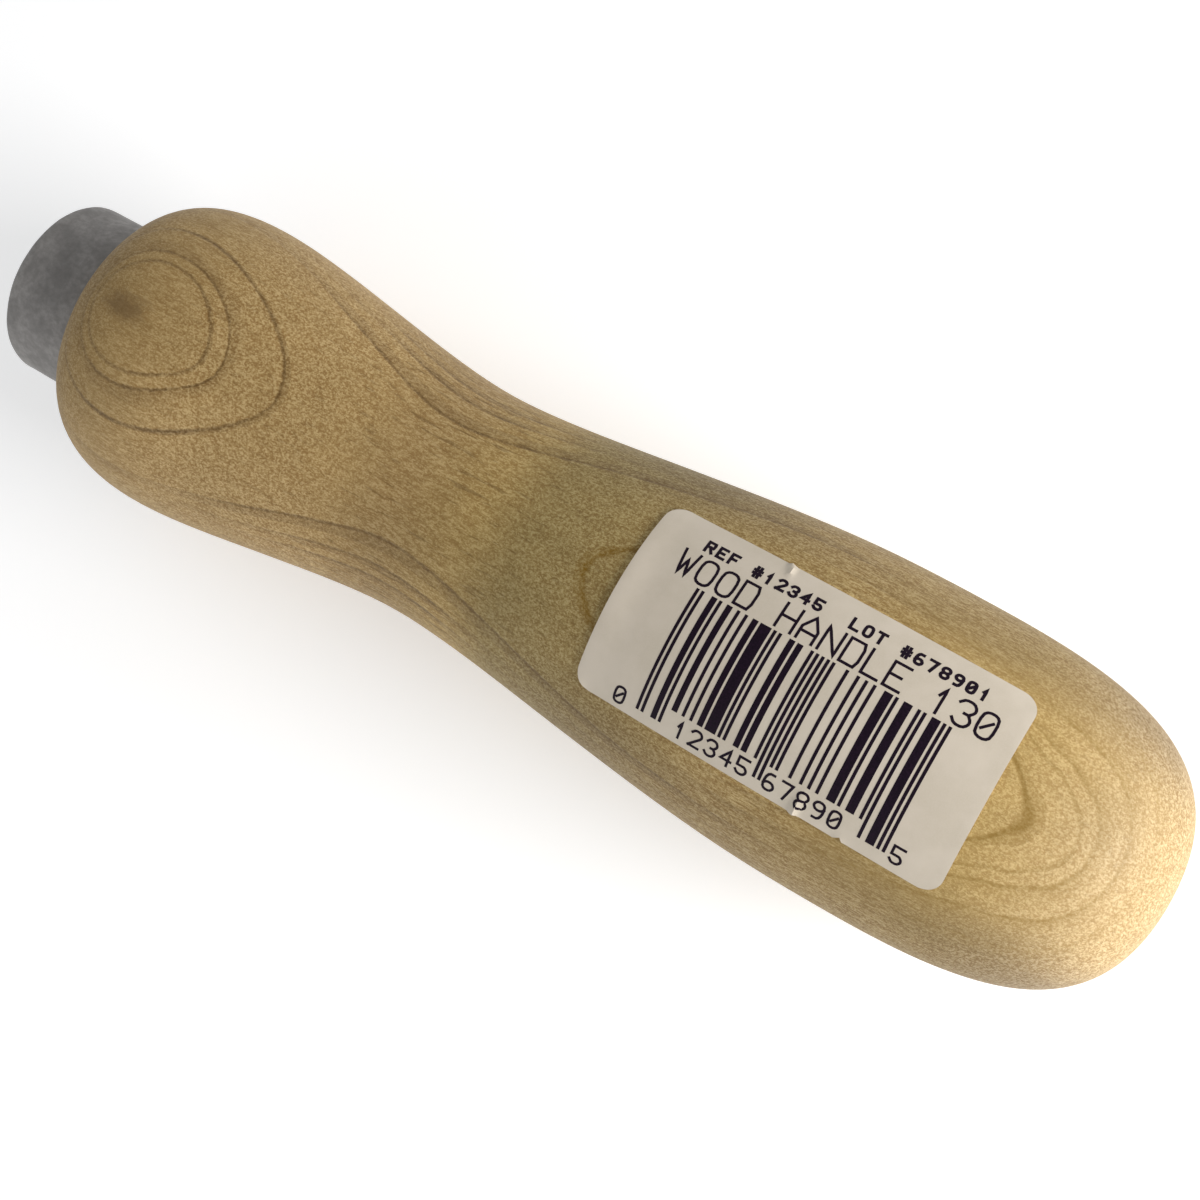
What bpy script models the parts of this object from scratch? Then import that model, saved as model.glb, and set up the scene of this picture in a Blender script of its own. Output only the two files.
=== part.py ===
"""A wooden file handle: a turned hardwood grip bored for a file's tang, a drawn steel ferrule
pressed on its tenon, and a paper label stuck on the palm swell.

The handle lies on its two swells along X, ferrule towards -X, with the origin under its middle.
Run it with: blender --background --python part.py
"""

import math

import bmesh
import bpy
from mathutils import Vector
from mathutils.geometry import interpolate_bezier

MM = 0.001

# Between any two pieces that touch, so that each stays its own solid
FIT_GAP = 0.3 * MM

# Overall sizes. Distances "from front" start at the ferrule's face, "from butt" at the rounded end.
OVERALL_LENGTH = 130.0 * MM
SWELL_RADIUS = 16.2 * MM  # the stock the grip is turned from: both swells reach it

# Grip, as a row of stations joined by Bezier spans. A reach is how far a span's handle extends.
FRONT_SWELL_FROM_FRONT = 20.5 * MM
NECK_FROM_FRONT = 52.5 * MM
NECK_RADIUS = 12.3 * MM
PALM_SWELL_FROM_BUTT = 32.0 * MM
SHOULDER_RISE = 1.0 * MM
FRONT_SWELL_REACHES = (11.0 * MM, 8.5 * MM)
NECK_REACHES = (9.0 * MM, 11.0 * MM)
PALM_SWELL_REACHES = (16.0 * MM, 17.5 * MM)
BUTT_INSET = 0.2 * MM  # the butt's flat handle stops this far inside the swell, so it can't bulge past
SPAN_STEPS = 9

# Ferrule: a drawn cup with its floor pierced for the tang.
FERRULE_RADIUS = 9.6 * MM
FERRULE_LENGTH = 9.7 * MM
FERRULE_WALL = 0.8 * MM
FERRULE_CORNER_RADIUS = 1.2 * MM

# Tang hole, drilled in two steps so that a tapered tang wedges along its length.
TANG_MOUTH_RADIUS = 4.5 * MM
TANG_MOUTH_DEPTH = 30.0 * MM  # both depths are from the tenon's end
TANG_TIP_RADIUS = 3.25 * MM
TANG_TIP_DEPTH = 62.0 * MM
DRILL_POINT_ANGLE = math.radians(118.0)
PIERCE_CLEARANCE = 0.75 * MM  # the ferrule's hole stands back this far from the tang hole

# Label
LABEL_LENGTH = 37.5 * MM
LABEL_WIDTH = 20.5 * MM  # round the grip, measured along the paper
LABEL_CORNER_RADIUS = 1.9 * MM
LABEL_CENTRE_FROM_BUTT = 36.3 * MM
LABEL_THICKNESS = 0.15 * MM

# Fineness of the faceted surfaces
TURN_STEPS = 48
CORNER_STEPS = 4
LABEL_STEPS = (26, 12)
MERGE = 0.01 * MM

FRONT = -OVERALL_LENGTH / 2
BUTT = OVERALL_LENGTH / 2
SHOULDER = FRONT + FERRULE_LENGTH + FIT_GAP
TENON_END = FRONT + FERRULE_WALL + FIT_GAP
TENON_RADIUS = FERRULE_RADIUS - FERRULE_WALL - FIT_GAP


def clear_scene():
    for obj in list(bpy.data.objects):
        bpy.data.objects.remove(obj)


def material(name, colour, roughness, metallic=0.0):
    made = bpy.data.materials.new(name)
    made.use_nodes = True
    shader = made.node_tree.nodes["Principled BSDF"]
    shader.inputs["Base Color"].default_value = (*colour, 1.0)
    shader.inputs["Roughness"].default_value = roughness
    shader.inputs["Metallic"].default_value = metallic
    return made


def place(obj, collection, axis, finish):
    """Links obj, hangs it on the handle's axis and gives it its material."""
    collection.objects.link(obj)
    obj.parent = axis
    obj.data.materials.append(finish)
    return obj


def handle_axis(collection):
    """An empty on the grip's centre line whose Z points to the butt, as on a lathe."""
    axis = bpy.data.objects.new("handle_axis", None)
    axis.location = (0.0, 0.0, SWELL_RADIUS)
    axis.rotation_euler = (0.0, math.pi / 2, 0.0)
    axis.empty_display_size = SWELL_RADIUS
    collection.objects.link(axis)
    return axis


def turned(name, profile, closed):
    """An object turned about its own Z from (radius, along) points. Outer sides run from butt to front."""
    mesh = bpy.data.meshes.new(name)
    count = len(profile)
    edges = [(i, (i + 1) % count) for i in range(count if closed else count - 1)]
    mesh.from_pydata([(radius, 0.0, along) for radius, along in profile], edges, [])
    obj = bpy.data.objects.new(name, mesh)
    screw = obj.modifiers.new("turn", "SCREW")
    screw.axis = "Z"
    screw.angle = 2 * math.pi
    screw.steps = TURN_STEPS
    screw.render_steps = TURN_STEPS
    screw.use_merge_vertices = True
    screw.merge_threshold = MERGE
    screw.use_smooth_shade = True
    return obj


def arc(centre, radius, start, end, steps):
    """(radius, along) points on a round corner, with both ends."""
    angles = [start + (end - start) * i / steps for i in range(steps + 1)]
    return [(centre[0] + radius * math.cos(a), centre[1] + radius * math.sin(a)) for a in angles]


def grip_outline():
    """The grip's outer side from the butt to the shoulder, as (radius, along) points."""
    palm = BUTT - PALM_SWELL_FROM_BUTT
    neck = FRONT + NECK_FROM_FRONT
    swell = FRONT + FRONT_SWELL_FROM_FRONT
    spans = [
        (
            (0.0, BUTT),
            (SWELL_RADIUS - BUTT_INSET, BUTT),
            (SWELL_RADIUS, palm + PALM_SWELL_REACHES[1]),
            (SWELL_RADIUS, palm),
        ),
        (
            (SWELL_RADIUS, palm),
            (SWELL_RADIUS, palm - PALM_SWELL_REACHES[0]),
            (NECK_RADIUS, neck + NECK_REACHES[1]),
            (NECK_RADIUS, neck),
        ),
        (
            (NECK_RADIUS, neck),
            (NECK_RADIUS, neck - NECK_REACHES[0]),
            (SWELL_RADIUS, swell + FRONT_SWELL_REACHES[1]),
            (SWELL_RADIUS, swell),
        ),
        (
            (SWELL_RADIUS, swell),
            (SWELL_RADIUS, swell - FRONT_SWELL_REACHES[0]),
            (FERRULE_RADIUS + SHOULDER_RISE, SHOULDER),
            (FERRULE_RADIUS, SHOULDER),
        ),
    ]
    outline = [Vector((*spans[0][0], 0.0))]
    for span in spans:
        knots = [Vector((*point, 0.0)) for point in span]
        outline += interpolate_bezier(*knots, SPAN_STEPS + 1)[1:]
    return [(point.x, point.y) for point in outline]


def radius_at(outline, along):
    """The grip's radius at a place along it."""
    for (r0, a0), (r1, a1) in zip(outline, outline[1:]):
        if a1 <= along <= a0:
            return r0 + (r1 - r0) * (along - a0) / (a1 - a0)
    return FERRULE_RADIUS


def make_grip(outline):
    """The wood: outer side, tenon, then the stepped tang hole back to its drill point."""
    step = TENON_END + TANG_MOUTH_DEPTH
    tip = TENON_END + TANG_TIP_DEPTH
    cone = math.tan(DRILL_POINT_ANGLE / 2)
    profile = outline + [
        (TENON_RADIUS, SHOULDER),
        (TENON_RADIUS, TENON_END),
        (TANG_MOUTH_RADIUS, TENON_END),
        (TANG_MOUTH_RADIUS, step - (TANG_MOUTH_RADIUS - TANG_TIP_RADIUS) / cone),
        (TANG_TIP_RADIUS, step),
        (TANG_TIP_RADIUS, tip - TANG_TIP_RADIUS / cone),
        (0.0, tip),
    ]
    return turned("wooden_grip", profile, closed=False)


def make_ferrule():
    """A cup with a rounded front corner, its floor pierced for the tang."""
    rear = FRONT + FERRULE_LENGTH
    inner = FERRULE_RADIUS - FERRULE_WALL
    pierced = TANG_MOUTH_RADIUS + PIERCE_CLEARANCE
    corner = (FERRULE_RADIUS - FERRULE_CORNER_RADIUS, FRONT + FERRULE_CORNER_RADIUS)
    inner_corner = max(FERRULE_CORNER_RADIUS - FERRULE_WALL, MERGE * 2)
    inner_centre = (inner - inner_corner, FRONT + FERRULE_WALL + inner_corner)
    profile = (
        [(FERRULE_RADIUS, rear)]
        + arc(corner, FERRULE_CORNER_RADIUS, 0.0, -math.pi / 2, CORNER_STEPS)
        + [(pierced, FRONT), (pierced, FRONT + FERRULE_WALL)]
        + arc(inner_centre, inner_corner, -math.pi / 2, 0.0, CORNER_STEPS // 2)
        + [(inner, rear)]
    )
    return turned("ferrule", profile, closed=True)


def half_width(u):
    """Half the label's width at u along its length, less where a corner is rounded."""
    into_corner = abs(u) - (LABEL_LENGTH / 2 - LABEL_CORNER_RADIUS)
    if into_corner <= 0:
        return LABEL_WIDTH / 2
    cut = LABEL_CORNER_RADIUS**2 - min(into_corner, LABEL_CORNER_RADIUS) ** 2
    return LABEL_WIDTH / 2 - LABEL_CORNER_RADIUS + math.sqrt(cut)


def make_label(outline):
    """A grid wrapped round the palm swell at its true length and width, then thickened."""
    mesh = bpy.data.meshes.new("paper_label")
    sheet = bmesh.new()
    bmesh.ops.create_grid(sheet, x_segments=LABEL_STEPS[0], y_segments=LABEL_STEPS[1], size=1.0)
    centre = BUTT - LABEL_CENTRE_FROM_BUTT
    for vertex in sheet.verts:
        # The sine crowds the grid towards the ends, where the corners turn.
        u = math.sin(vertex.co.x * math.pi / 2) * LABEL_LENGTH / 2
        v = vertex.co.y * half_width(u)
        radius = radius_at(outline, centre + u) + FIT_GAP
        turn = v / radius
        vertex.co = (-radius * math.cos(turn), radius * math.sin(turn), centre + u)
    bmesh.ops.recalc_face_normals(sheet, faces=sheet.faces)
    middle = min(sheet.faces, key=lambda face: abs(face.calc_center_median().y))
    if middle.normal.x > 0:
        bmesh.ops.reverse_faces(sheet, faces=sheet.faces)
    sheet.to_mesh(mesh)
    sheet.free()
    mesh.shade_smooth()
    obj = bpy.data.objects.new("paper_label", mesh)
    thicken = obj.modifiers.new("paper", "SOLIDIFY")
    thicken.thickness = LABEL_THICKNESS
    thicken.offset = 1.0
    return obj


def main():
    clear_scene()
    collection = bpy.data.collections.new("file_handle")
    bpy.context.scene.collection.children.link(collection)
    axis = handle_axis(collection)
    outline = grip_outline()
    wood = material("wood", (0.44, 0.30, 0.13), roughness=0.5)
    steel = material("steel", (0.36, 0.35, 0.34), roughness=0.45, metallic=0.85)
    paper = material("paper", (0.66, 0.60, 0.53), roughness=0.6)
    place(make_grip(outline), collection, axis, wood)
    place(make_ferrule(), collection, axis, steel)
    place(make_label(outline), collection, axis, paper)


main()
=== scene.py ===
"""Looks of the file handle: a turned hardwood grip, its drawn steel ferrule and a paper label.

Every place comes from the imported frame. Sizes are in millimetres. "Along" is the distance from the
ferrule's face towards the butt, and angles round the grip are measured from the top, where the label is.
"""

import math
import random

import bmesh
import bpy
import numpy as np
from mathutils import Matrix, Vector, noise


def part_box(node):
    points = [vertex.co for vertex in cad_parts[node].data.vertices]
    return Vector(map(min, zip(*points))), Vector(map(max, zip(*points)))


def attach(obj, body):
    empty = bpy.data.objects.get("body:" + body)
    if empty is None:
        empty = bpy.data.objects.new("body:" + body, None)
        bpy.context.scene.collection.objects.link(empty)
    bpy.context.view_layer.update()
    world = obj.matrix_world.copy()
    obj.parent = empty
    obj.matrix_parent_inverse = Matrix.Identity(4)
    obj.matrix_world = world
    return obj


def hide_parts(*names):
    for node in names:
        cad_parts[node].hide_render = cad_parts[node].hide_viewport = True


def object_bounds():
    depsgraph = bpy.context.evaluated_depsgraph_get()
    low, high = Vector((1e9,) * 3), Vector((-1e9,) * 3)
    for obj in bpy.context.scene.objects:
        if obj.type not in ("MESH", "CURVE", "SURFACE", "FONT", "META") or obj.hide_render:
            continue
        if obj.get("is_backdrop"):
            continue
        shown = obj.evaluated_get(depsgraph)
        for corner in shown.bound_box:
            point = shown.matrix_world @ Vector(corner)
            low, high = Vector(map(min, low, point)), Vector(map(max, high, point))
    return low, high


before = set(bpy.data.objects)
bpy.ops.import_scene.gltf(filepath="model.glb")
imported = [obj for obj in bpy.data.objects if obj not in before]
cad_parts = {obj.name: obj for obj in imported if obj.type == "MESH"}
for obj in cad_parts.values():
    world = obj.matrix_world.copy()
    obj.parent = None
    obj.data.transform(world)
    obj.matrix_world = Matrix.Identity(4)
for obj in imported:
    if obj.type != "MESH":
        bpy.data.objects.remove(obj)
CAD_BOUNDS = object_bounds()

MM = 0.001

# The handle, as the frame gives it
GRIP_LOW, GRIP_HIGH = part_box("wooden_grip")
FERRULE_LOW, FERRULE_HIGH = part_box("ferrule")
LABEL_LOW, LABEL_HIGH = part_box("paper_label")
FRONT_X = FERRULE_LOW.x
AXIS_Z = (GRIP_LOW.z + GRIP_HIGH.z) / 2
LENGTH = (GRIP_HIGH.x - FRONT_X) / MM
FERRULE_RADIUS = (FERRULE_HIGH.z - FERRULE_LOW.z) / 2 / MM

# Turned surfaces
LATHE_STEPS = 192
GRIP_STATIONS = 240
POLE_CIRCLES = 5  # the CAD circles before the butt's pole that are mirrored past it
POLE_HOLE = 0.05  # stations closer to the axis than this give way to the pole itself
INSIDE_SHARE = 0.95  # front circles under this share of the ferrule's radius are tenon or hole
TENON_SHARE = 0.8  # and of those, the ones over this share are the tenon's
HAND_SANDING = 0.05  # how far the sanded wood wanders from a true turning
SANDING_WAVE = 11.0
SANDING_STRETCH = 0.6
SANDING_RADIUS = 16.0
SANDING_ENDS = (4.0, 6.0)  # it dies out over these lengths, at the shoulder and at the pole
FERRULE_WALL = 0.8
FERRULE_CORNER = 1.2
FERRULE_EDGE = 0.2
FERRULE_FILLET = 0.4
FERRULE_STATIONS = 9
FERRULE_PLAIN = (2.0, 1.0)  # how far from the front and from the rear its outer side runs plain
FERRULE_BITE = 0.05  # how far its rear edge is pressed into the shoulder
FERRULE_DENT = 0.05
FERRULE_DENT_WAVES = (4.0, 1.6)
SHARP_ANGLE = math.radians(35)

# Label
PAPER = 0.11
GLUE = 0.02
LABEL_CORNER = 1.9
LABEL_SKEW = math.radians(-0.6)
LABEL_CELLS = (180, 84)
LABEL_SHIFT = 0.25  # how far behind its CAD place the label is stuck
NICK_ALONG = 9.3
NICK_DEPTH = 0.45
NICK_WIDTH = 0.22
INK_ABOVE = 0.012
INK_BELOW = 0.01

# How the paper stands off the wood. A reach is how far in from the label's edge that lift goes.
FRONT_REACH = 4.0
FRONT_LIFT = 0.07
FRONT_MIDDLE_LIFT = 0.15
FRONT_MIDDLE, FRONT_MIDDLE_WIDTH = 0.8, 6.0
BACK_REACH, BACK_LIFT = 1.5, 0.03
PLEAT_ALONG, PLEAT_SLANT = -6.0, 0.22
PLEAT_REACH, PLEAT_LIFT, PLEAT_WIDTH = 2.0, 0.3, 0.22
CREASE_ALONG, CREASE_SLANT = 4.75, 0.08
CREASE_REACH, CREASE_LIFT, CREASE_WIDTH = 3.2, 0.32, 0.34
TORN_REACH, TORN_LIFT, TORN_WIDTH = 0.8, 0.1, 0.5
DOG_EAR_REACH, DOG_EAR_LIFT = 1.6, 0.25
COCKLE = 0.015
COCKLE_WAVES = (5.0, 3.0)
COCKLE_PLACE = 0.3


# ---------------------------------------------------------------- turned shapes


def place(along, radius, turn):
    """A point on a turned surface, in metres in the part's own frame."""
    x = FRONT_X + along * MM
    y = radius * math.sin(turn) * MM
    z = AXIS_Z + radius * math.cos(turn) * MM
    return Vector((x, y, z))


def circles(node):
    """The (along, radius) circles that a turned CAD node's vertices lie on, in order along."""
    found = set()
    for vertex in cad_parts[node].data.vertices:
        along = (vertex.co.x - FRONT_X) / MM
        radius = math.hypot(vertex.co.y, vertex.co.z - AXIS_Z) / MM
        found.add((round(along, 2), round(radius, 2)))
    return sorted(found)


def spline(points, count):
    """count points, evenly spaced, on the natural cubic spline through points."""
    knots = np.array(points, float)
    steps = np.hypot(*np.diff(knots, axis=0).T)
    at = np.concatenate([[0.0], np.cumsum(steps)])
    system = np.zeros((len(knots), len(knots)))
    system[0, 0] = system[-1, -1] = 1.0
    target = np.zeros_like(knots)
    slopes = np.diff(knots, axis=0) / steps[:, None]
    for i in range(1, len(knots) - 1):
        system[i, i - 1 : i + 2] = steps[i - 1], 2 * (steps[i - 1] + steps[i]), steps[i]
        target[i] = 6 * (slopes[i] - slopes[i - 1])
    bend = np.linalg.solve(system, target)
    wanted = np.linspace(0.0, at[-1], count)
    i = np.clip(np.searchsorted(at, wanted, side="right") - 1, 0, len(steps) - 1)
    step = steps[i][:, None]
    a = (at[i + 1] - wanted)[:, None] / step
    b = 1.0 - a
    curve = (a**3 - a) * bend[i] + (b**3 - b) * bend[i + 1]
    return a * knots[i] + b * knots[i + 1] + curve * step**2 / 6


def grip_profile():
    """The grip's outer side as a fine curve from shoulder to butt, and its bore and tenon as they are."""
    found = circles("wooden_grip")
    front_half = [point for point in found if point[0] < LENGTH / 2]
    inside = [point for point in front_half if point[1] < FERRULE_RADIUS * INSIDE_SHARE]
    outside = [point for point in found if point not in inside]
    # Carried past the pole by its own mirror image, the spline crosses the axis squarely.
    before_pole = outside[-1 - POLE_CIRCLES : -1]
    mirrored = [(along, -radius) for along, radius in reversed(before_pole)]
    fine = spline(outside + mirrored, GRIP_STATIONS)
    fine = [tuple(point) for point in fine if point[1] > POLE_HOLE]
    return fine + [(LENGTH, 0.0)], inside


GRIP_SIDE, GRIP_INSIDE = grip_profile()
SIDE_ALONG = [point[0] for point in GRIP_SIDE]
SIDE_RADIUS = [point[1] for point in GRIP_SIDE]


def sanding(along, turn):
    """The small wander of a hand-sanded surface, which dies out at the shoulder and the butt's pole."""
    y = SANDING_RADIUS * math.sin(turn)
    z = SANDING_RADIUS * math.cos(turn)
    spot = Vector((along * SANDING_STRETCH, y, z)) / SANDING_WAVE
    front, back = SANDING_ENDS
    ends = min(1.0, (along - SIDE_ALONG[0]) / front, (LENGTH - along) / back)
    return HAND_SANDING * max(ends, 0.0) * noise.noise(spot)


def grip_radius(along, turn):
    return float(np.interp(along, SIDE_ALONG, SIDE_RADIUS)) + sanding(along, turn)


def finish_mesh(name, shape):
    """An object in the scene with shape as its mesh, faces outwards."""
    bmesh.ops.recalc_face_normals(shape, faces=shape.faces)
    mesh = bpy.data.meshes.new(name)
    shape.to_mesh(mesh)
    shape.free()
    mesh.shade_smooth()
    mesh.set_sharp_from_angle(angle=SHARP_ANGLE)
    obj = bpy.data.objects.new(name, mesh)
    bpy.context.scene.collection.objects.link(obj)
    return obj


def lathe(name, profile, wander):
    """A closed turned object: a profile point on the axis is a pole, and wander is the unevenness."""
    shape = bmesh.new()
    rows = []
    for along, radius in profile:
        if radius < 1e-6:
            rows.append([shape.verts.new(place(along, 0.0, 0.0))])
            continue
        row = []
        for step in range(LATHE_STEPS):
            turn = 2 * math.pi * step / LATHE_STEPS
            row.append(shape.verts.new(place(along, radius + wander(along, turn), turn)))
        rows.append(row)
    for near, far in zip(rows, rows[1:]):
        for step in range(LATHE_STEPS):
            after = (step + 1) % LATHE_STEPS
            corners = {
                near[step % len(near)]: None,
                near[after % len(near)]: None,
                far[after % len(far)]: None,
                far[step % len(far)]: None,
            }
            shape.faces.new(list(corners))
    if len(rows[0]) > 1:
        for step in range(LATHE_STEPS):
            after = (step + 1) % LATHE_STEPS
            shape.faces.new([rows[-1][step], rows[-1][after], rows[0][after], rows[0][step]])
    return finish_mesh(name, shape)


def make_grip():
    """The wood, from the butt's pole along the outside, round the tenon and down the tang hole."""
    tenon = [point for point in GRIP_INSIDE if point[1] > FERRULE_RADIUS * TENON_SHARE]
    hole = [point for point in GRIP_INSIDE if point not in tenon]
    profile = list(reversed(GRIP_SIDE)) + list(reversed(tenon)) + hole
    shoulder = SIDE_ALONG[0]

    def wander(along, turn):
        return sanding(along, turn) if along > shoulder else 0.0

    return lathe("turned_grip", profile, wander)


def corner(along, radius, size, start, steps):
    """Points of a quarter circle about (along, radius), turning clockwise from start."""
    turns = [start - math.pi / 2 * step / steps for step in range(steps + 1)]
    return [(along + size * math.cos(t), radius + size * math.sin(t)) for t in turns]


def make_ferrule():
    """A drawn cup with a rounded front corner and a pierced floor, pressed up against the shoulder."""
    hole = min(radius for along, radius in circles("ferrule"))
    rear = SIDE_ALONG[0] + FERRULE_BITE
    outer = FERRULE_RADIUS
    inner = outer - FERRULE_WALL
    lip = FERRULE_EDGE
    up, back = math.pi / 2, math.pi
    profile = corner(lip, hole + lip, lip, -up, 4)
    profile += corner(FERRULE_CORNER, outer - FERRULE_CORNER, FERRULE_CORNER, back, 10)
    plain_from, plain_to = FERRULE_PLAIN
    plain = np.linspace(plain_from, rear - plain_to, FERRULE_STATIONS)
    profile += [(along, outer) for along in plain]
    profile += corner(rear - lip, outer - lip, lip, up, 4)
    profile += [(rear, inner), (FERRULE_WALL + FERRULE_FILLET, inner)]
    profile += [(FERRULE_WALL, inner - FERRULE_FILLET), (FERRULE_WALL, hole)]
    broad, small = FERRULE_DENT_WAVES

    def wander(along, turn):
        spot = Vector((along, outer * math.sin(turn), outer * math.cos(turn)))
        return FERRULE_DENT * (noise.noise(spot / broad) + noise.noise(spot / small) / 2)

    return lathe("steel_ferrule", profile, wander)


# ---------------------------------------------------------------- label

LABEL_ALONG = ((LABEL_LOW.x + LABEL_HIGH.x) / 2 - FRONT_X) / MM + LABEL_SHIFT
LABEL_LENGTH = (LABEL_HIGH.x - LABEL_LOW.x) / MM
LABEL_TURN = math.asin(LABEL_HIGH.y / (LABEL_HIGH.z - AXIS_Z))
LABEL_WIDTH = 2 * LABEL_TURN * max(SIDE_RADIUS)


def bell(distance, width):
    """A smooth hump: one at no distance, almost nothing two widths away."""
    return math.exp(-((distance / width) ** 2))


def ease(value):
    """A smooth step from 0 to 1."""
    value = min(max(value, 0.0), 1.0)
    return value * value * (3 - 2 * value)


def at_edge(inside, reach):
    """One at an edge of the label, easing to nothing at reach inside it."""
    return ease((reach - inside) / reach)


def lift(u, v):
    """How far the paper stands off the wood at u along and v across it."""
    from_front, from_back = LABEL_LENGTH / 2 + u, LABEL_LENGTH / 2 - u
    from_foot, from_head = LABEL_WIDTH / 2 + v, LABEL_WIDTH / 2 - v
    # The front edge bridges the hollow flank, more in its middle than at its corners.
    middle = FRONT_MIDDLE_LIFT * bell(v - FRONT_MIDDLE, FRONT_MIDDLE_WIDTH)
    front = at_edge(from_front, FRONT_REACH) ** 2 * (FRONT_LIFT + middle)
    back = BACK_LIFT * at_edge(from_back, BACK_REACH)
    # A short pleat at the head of the print, and at its foot a crease and a raised bit round the nick
    pleat_line = PLEAT_ALONG + PLEAT_SLANT * from_head
    pleat = PLEAT_LIFT * bell(u - pleat_line, PLEAT_WIDTH) * at_edge(from_head, PLEAT_REACH)
    crease_line = CREASE_ALONG + CREASE_SLANT * from_foot
    crease = CREASE_LIFT * bell(u - crease_line, CREASE_WIDTH) * at_edge(from_foot, CREASE_REACH)
    torn = TORN_LIFT * bell(u - NICK_ALONG, TORN_WIDTH) * at_edge(from_foot, TORN_REACH)
    dog_ear = at_edge(from_front, DOG_EAR_REACH) * at_edge(from_foot, DOG_EAR_REACH)
    u_wave, v_wave = COCKLE_WAVES
    cockle = COCKLE * (1 + noise.noise(Vector((u / u_wave, v / v_wave, COCKLE_PLACE))))
    return GLUE + front + back + pleat + crease + torn + DOG_EAR_LIFT * dog_ear + cockle


def on_label(u, v, w):
    """The point at u along the label, v round it and w above its under side."""
    along = LABEL_ALONG + u
    under = float(np.interp(along, SIDE_ALONG, SIDE_RADIUS))
    turn = v / under
    return place(along, grip_radius(along, turn) + lift(u, v) + w, turn)


def half_width(u):
    """Half the label's width at u, less where a corner is rounded."""
    into = min(max(abs(u) - (LABEL_LENGTH / 2 - LABEL_CORNER), 0.0), LABEL_CORNER)
    return LABEL_WIDTH / 2 - LABEL_CORNER + math.sqrt(LABEL_CORNER**2 - into**2)


def make_label():
    """The paper: a fine grid, given its thickness and then bent onto the grip."""
    shape = bmesh.new()
    bmesh.ops.create_grid(shape, x_segments=LABEL_CELLS[0], y_segments=LABEL_CELLS[1], size=1.0)
    for vertex in shape.verts:
        # The sine crowds the grid towards the ends, where the corners turn.
        u = math.sin(vertex.co.x * math.pi / 2) * LABEL_LENGTH / 2
        reach = half_width(u)
        if vertex.co.y < 0:
            reach -= NICK_DEPTH * bell(u - NICK_ALONG, NICK_WIDTH)
        v = vertex.co.y * reach + u * math.tan(LABEL_SKEW)
        vertex.co = (u, v, 0.0)
    thick = bmesh.ops.extrude_face_region(shape, geom=shape.faces[:])
    for part in thick["geom"]:
        if isinstance(part, bmesh.types.BMVert):
            part.co.z = PAPER
    for vertex in shape.verts:
        vertex.co = on_label(*vertex.co)
    return finish_mesh("price_label", shape)


# ---------------------------------------------------------------- print on the label

# Strokes on a grid 4 wide and 6 high. A point is two digits, and a stroke ending in "o" is rounded.
GLYPHS = {
    " ": "",
    "A": "00-03-26-43-40 02-42",
    "D": "00-06 06-26-46-40-20-00o",
    "E": "46-06-00-40 03-33",
    "F": "46-06-00 03-33",
    "H": "00-06 40-46 03-43",
    "L": "06-00-40",
    "N": "00-06-40-46",
    "O": "10-01-05-16-36-45-41-30-10o",
    "R": "00-06 06-36-46-43-33-03o 23-40",
    "T": "06-46 26-20",
    "W": "06-10-24-30-46",
    "#": "10-16 30-36 02-42 04-44",
    "0": "10-01-05-16-36-45-41-30-10o 12-34",
    "1": "14-26-20",
    "2": "05-16-36-45-44-33-00o 00-40",
    "3": "05-16-36-45-44-33-42-41-30-10-01o 23-33",
    "4": "30-36-02-42",
    "5": "46-06-03-23 23-33-42-41-30-10-01o",
    "6": "36-16-04-01-10-30-41-42-33-13-02o",
    "7": "06-46-20",
    "8": "13-04-05-16-36-45-44-33-13-02-01-10-30-41-42-33o",
    "9": "10-30-42-45-36-16-05-04-13-33-44o",
}
GLYPH_WIDE, GLYPH_HIGH = 4, 6

# Retail symbol: seven modules for each digit, dark modules as ones, for the left half
DIGIT_MODULES = (
    "0001101",
    "0011001",
    "0010011",
    "0111101",
    "0100011",
    "0110001",
    "0101111",
    "0111011",
    "0110111",
    "0001011",
)
PLACEHOLDER_DIGITS = "012345678905"
DIGIT_HALF = 6
OUTER_GUARD, MIDDLE_GUARD = "101", "01010"
MIDDLE_REACH = 3  # bars centred within this many modules of the middle belong to the middle guard
OUTER_REACH = 10  # and within this many of an end, to the outer guard and the digit beside it
SYMBOL_FROM = -12.1
SYMBOL_LENGTH = 25.45
BARS_TOP = 3.55
BARS_BOTTOM = -7.15
GUARD_BOTTOM = -8.85
INK_SPREAD = 0.02
INK_STEP = 0.5
CORNER_CUT = 0.25
MITRE_LIMIT = 0.5  # a mitre reaches no further than half the pen's weight over this

# Lettering: where it stands, how high it is, from letter to letter, the pen's weight, width over pitch
SMALL_PRINT = dict(base=7.1, height=1.05, pitch=1.25, weight=0.3, narrow=0.54)
LARGE_PRINT = dict(base=3.95, height=2.42, pitch=2.14, weight=0.27, narrow=0.72)
DIGIT_PRINT = dict(base=-9.3, height=1.6, pitch=1.62, weight=0.25, narrow=0.62)
# What is printed, where it starts along the label, and its lettering
PRINTED = (
    ("REF #12345  LOT #678901", -13.6, SMALL_PRINT),
    ("WOOD HANDLE 130", -15.0, LARGE_PRINT),
    (PLACEHOLDER_DIGITS[0], -14.5, DIGIT_PRINT),
    (PLACEHOLDER_DIGITS[1:6], -7.9, DIGIT_PRINT),
    (PLACEHOLDER_DIGITS[6:11], 1.35, DIGIT_PRINT),
    (PLACEHOLDER_DIGITS[11], 13.9, DIGIT_PRINT),
)


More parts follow.
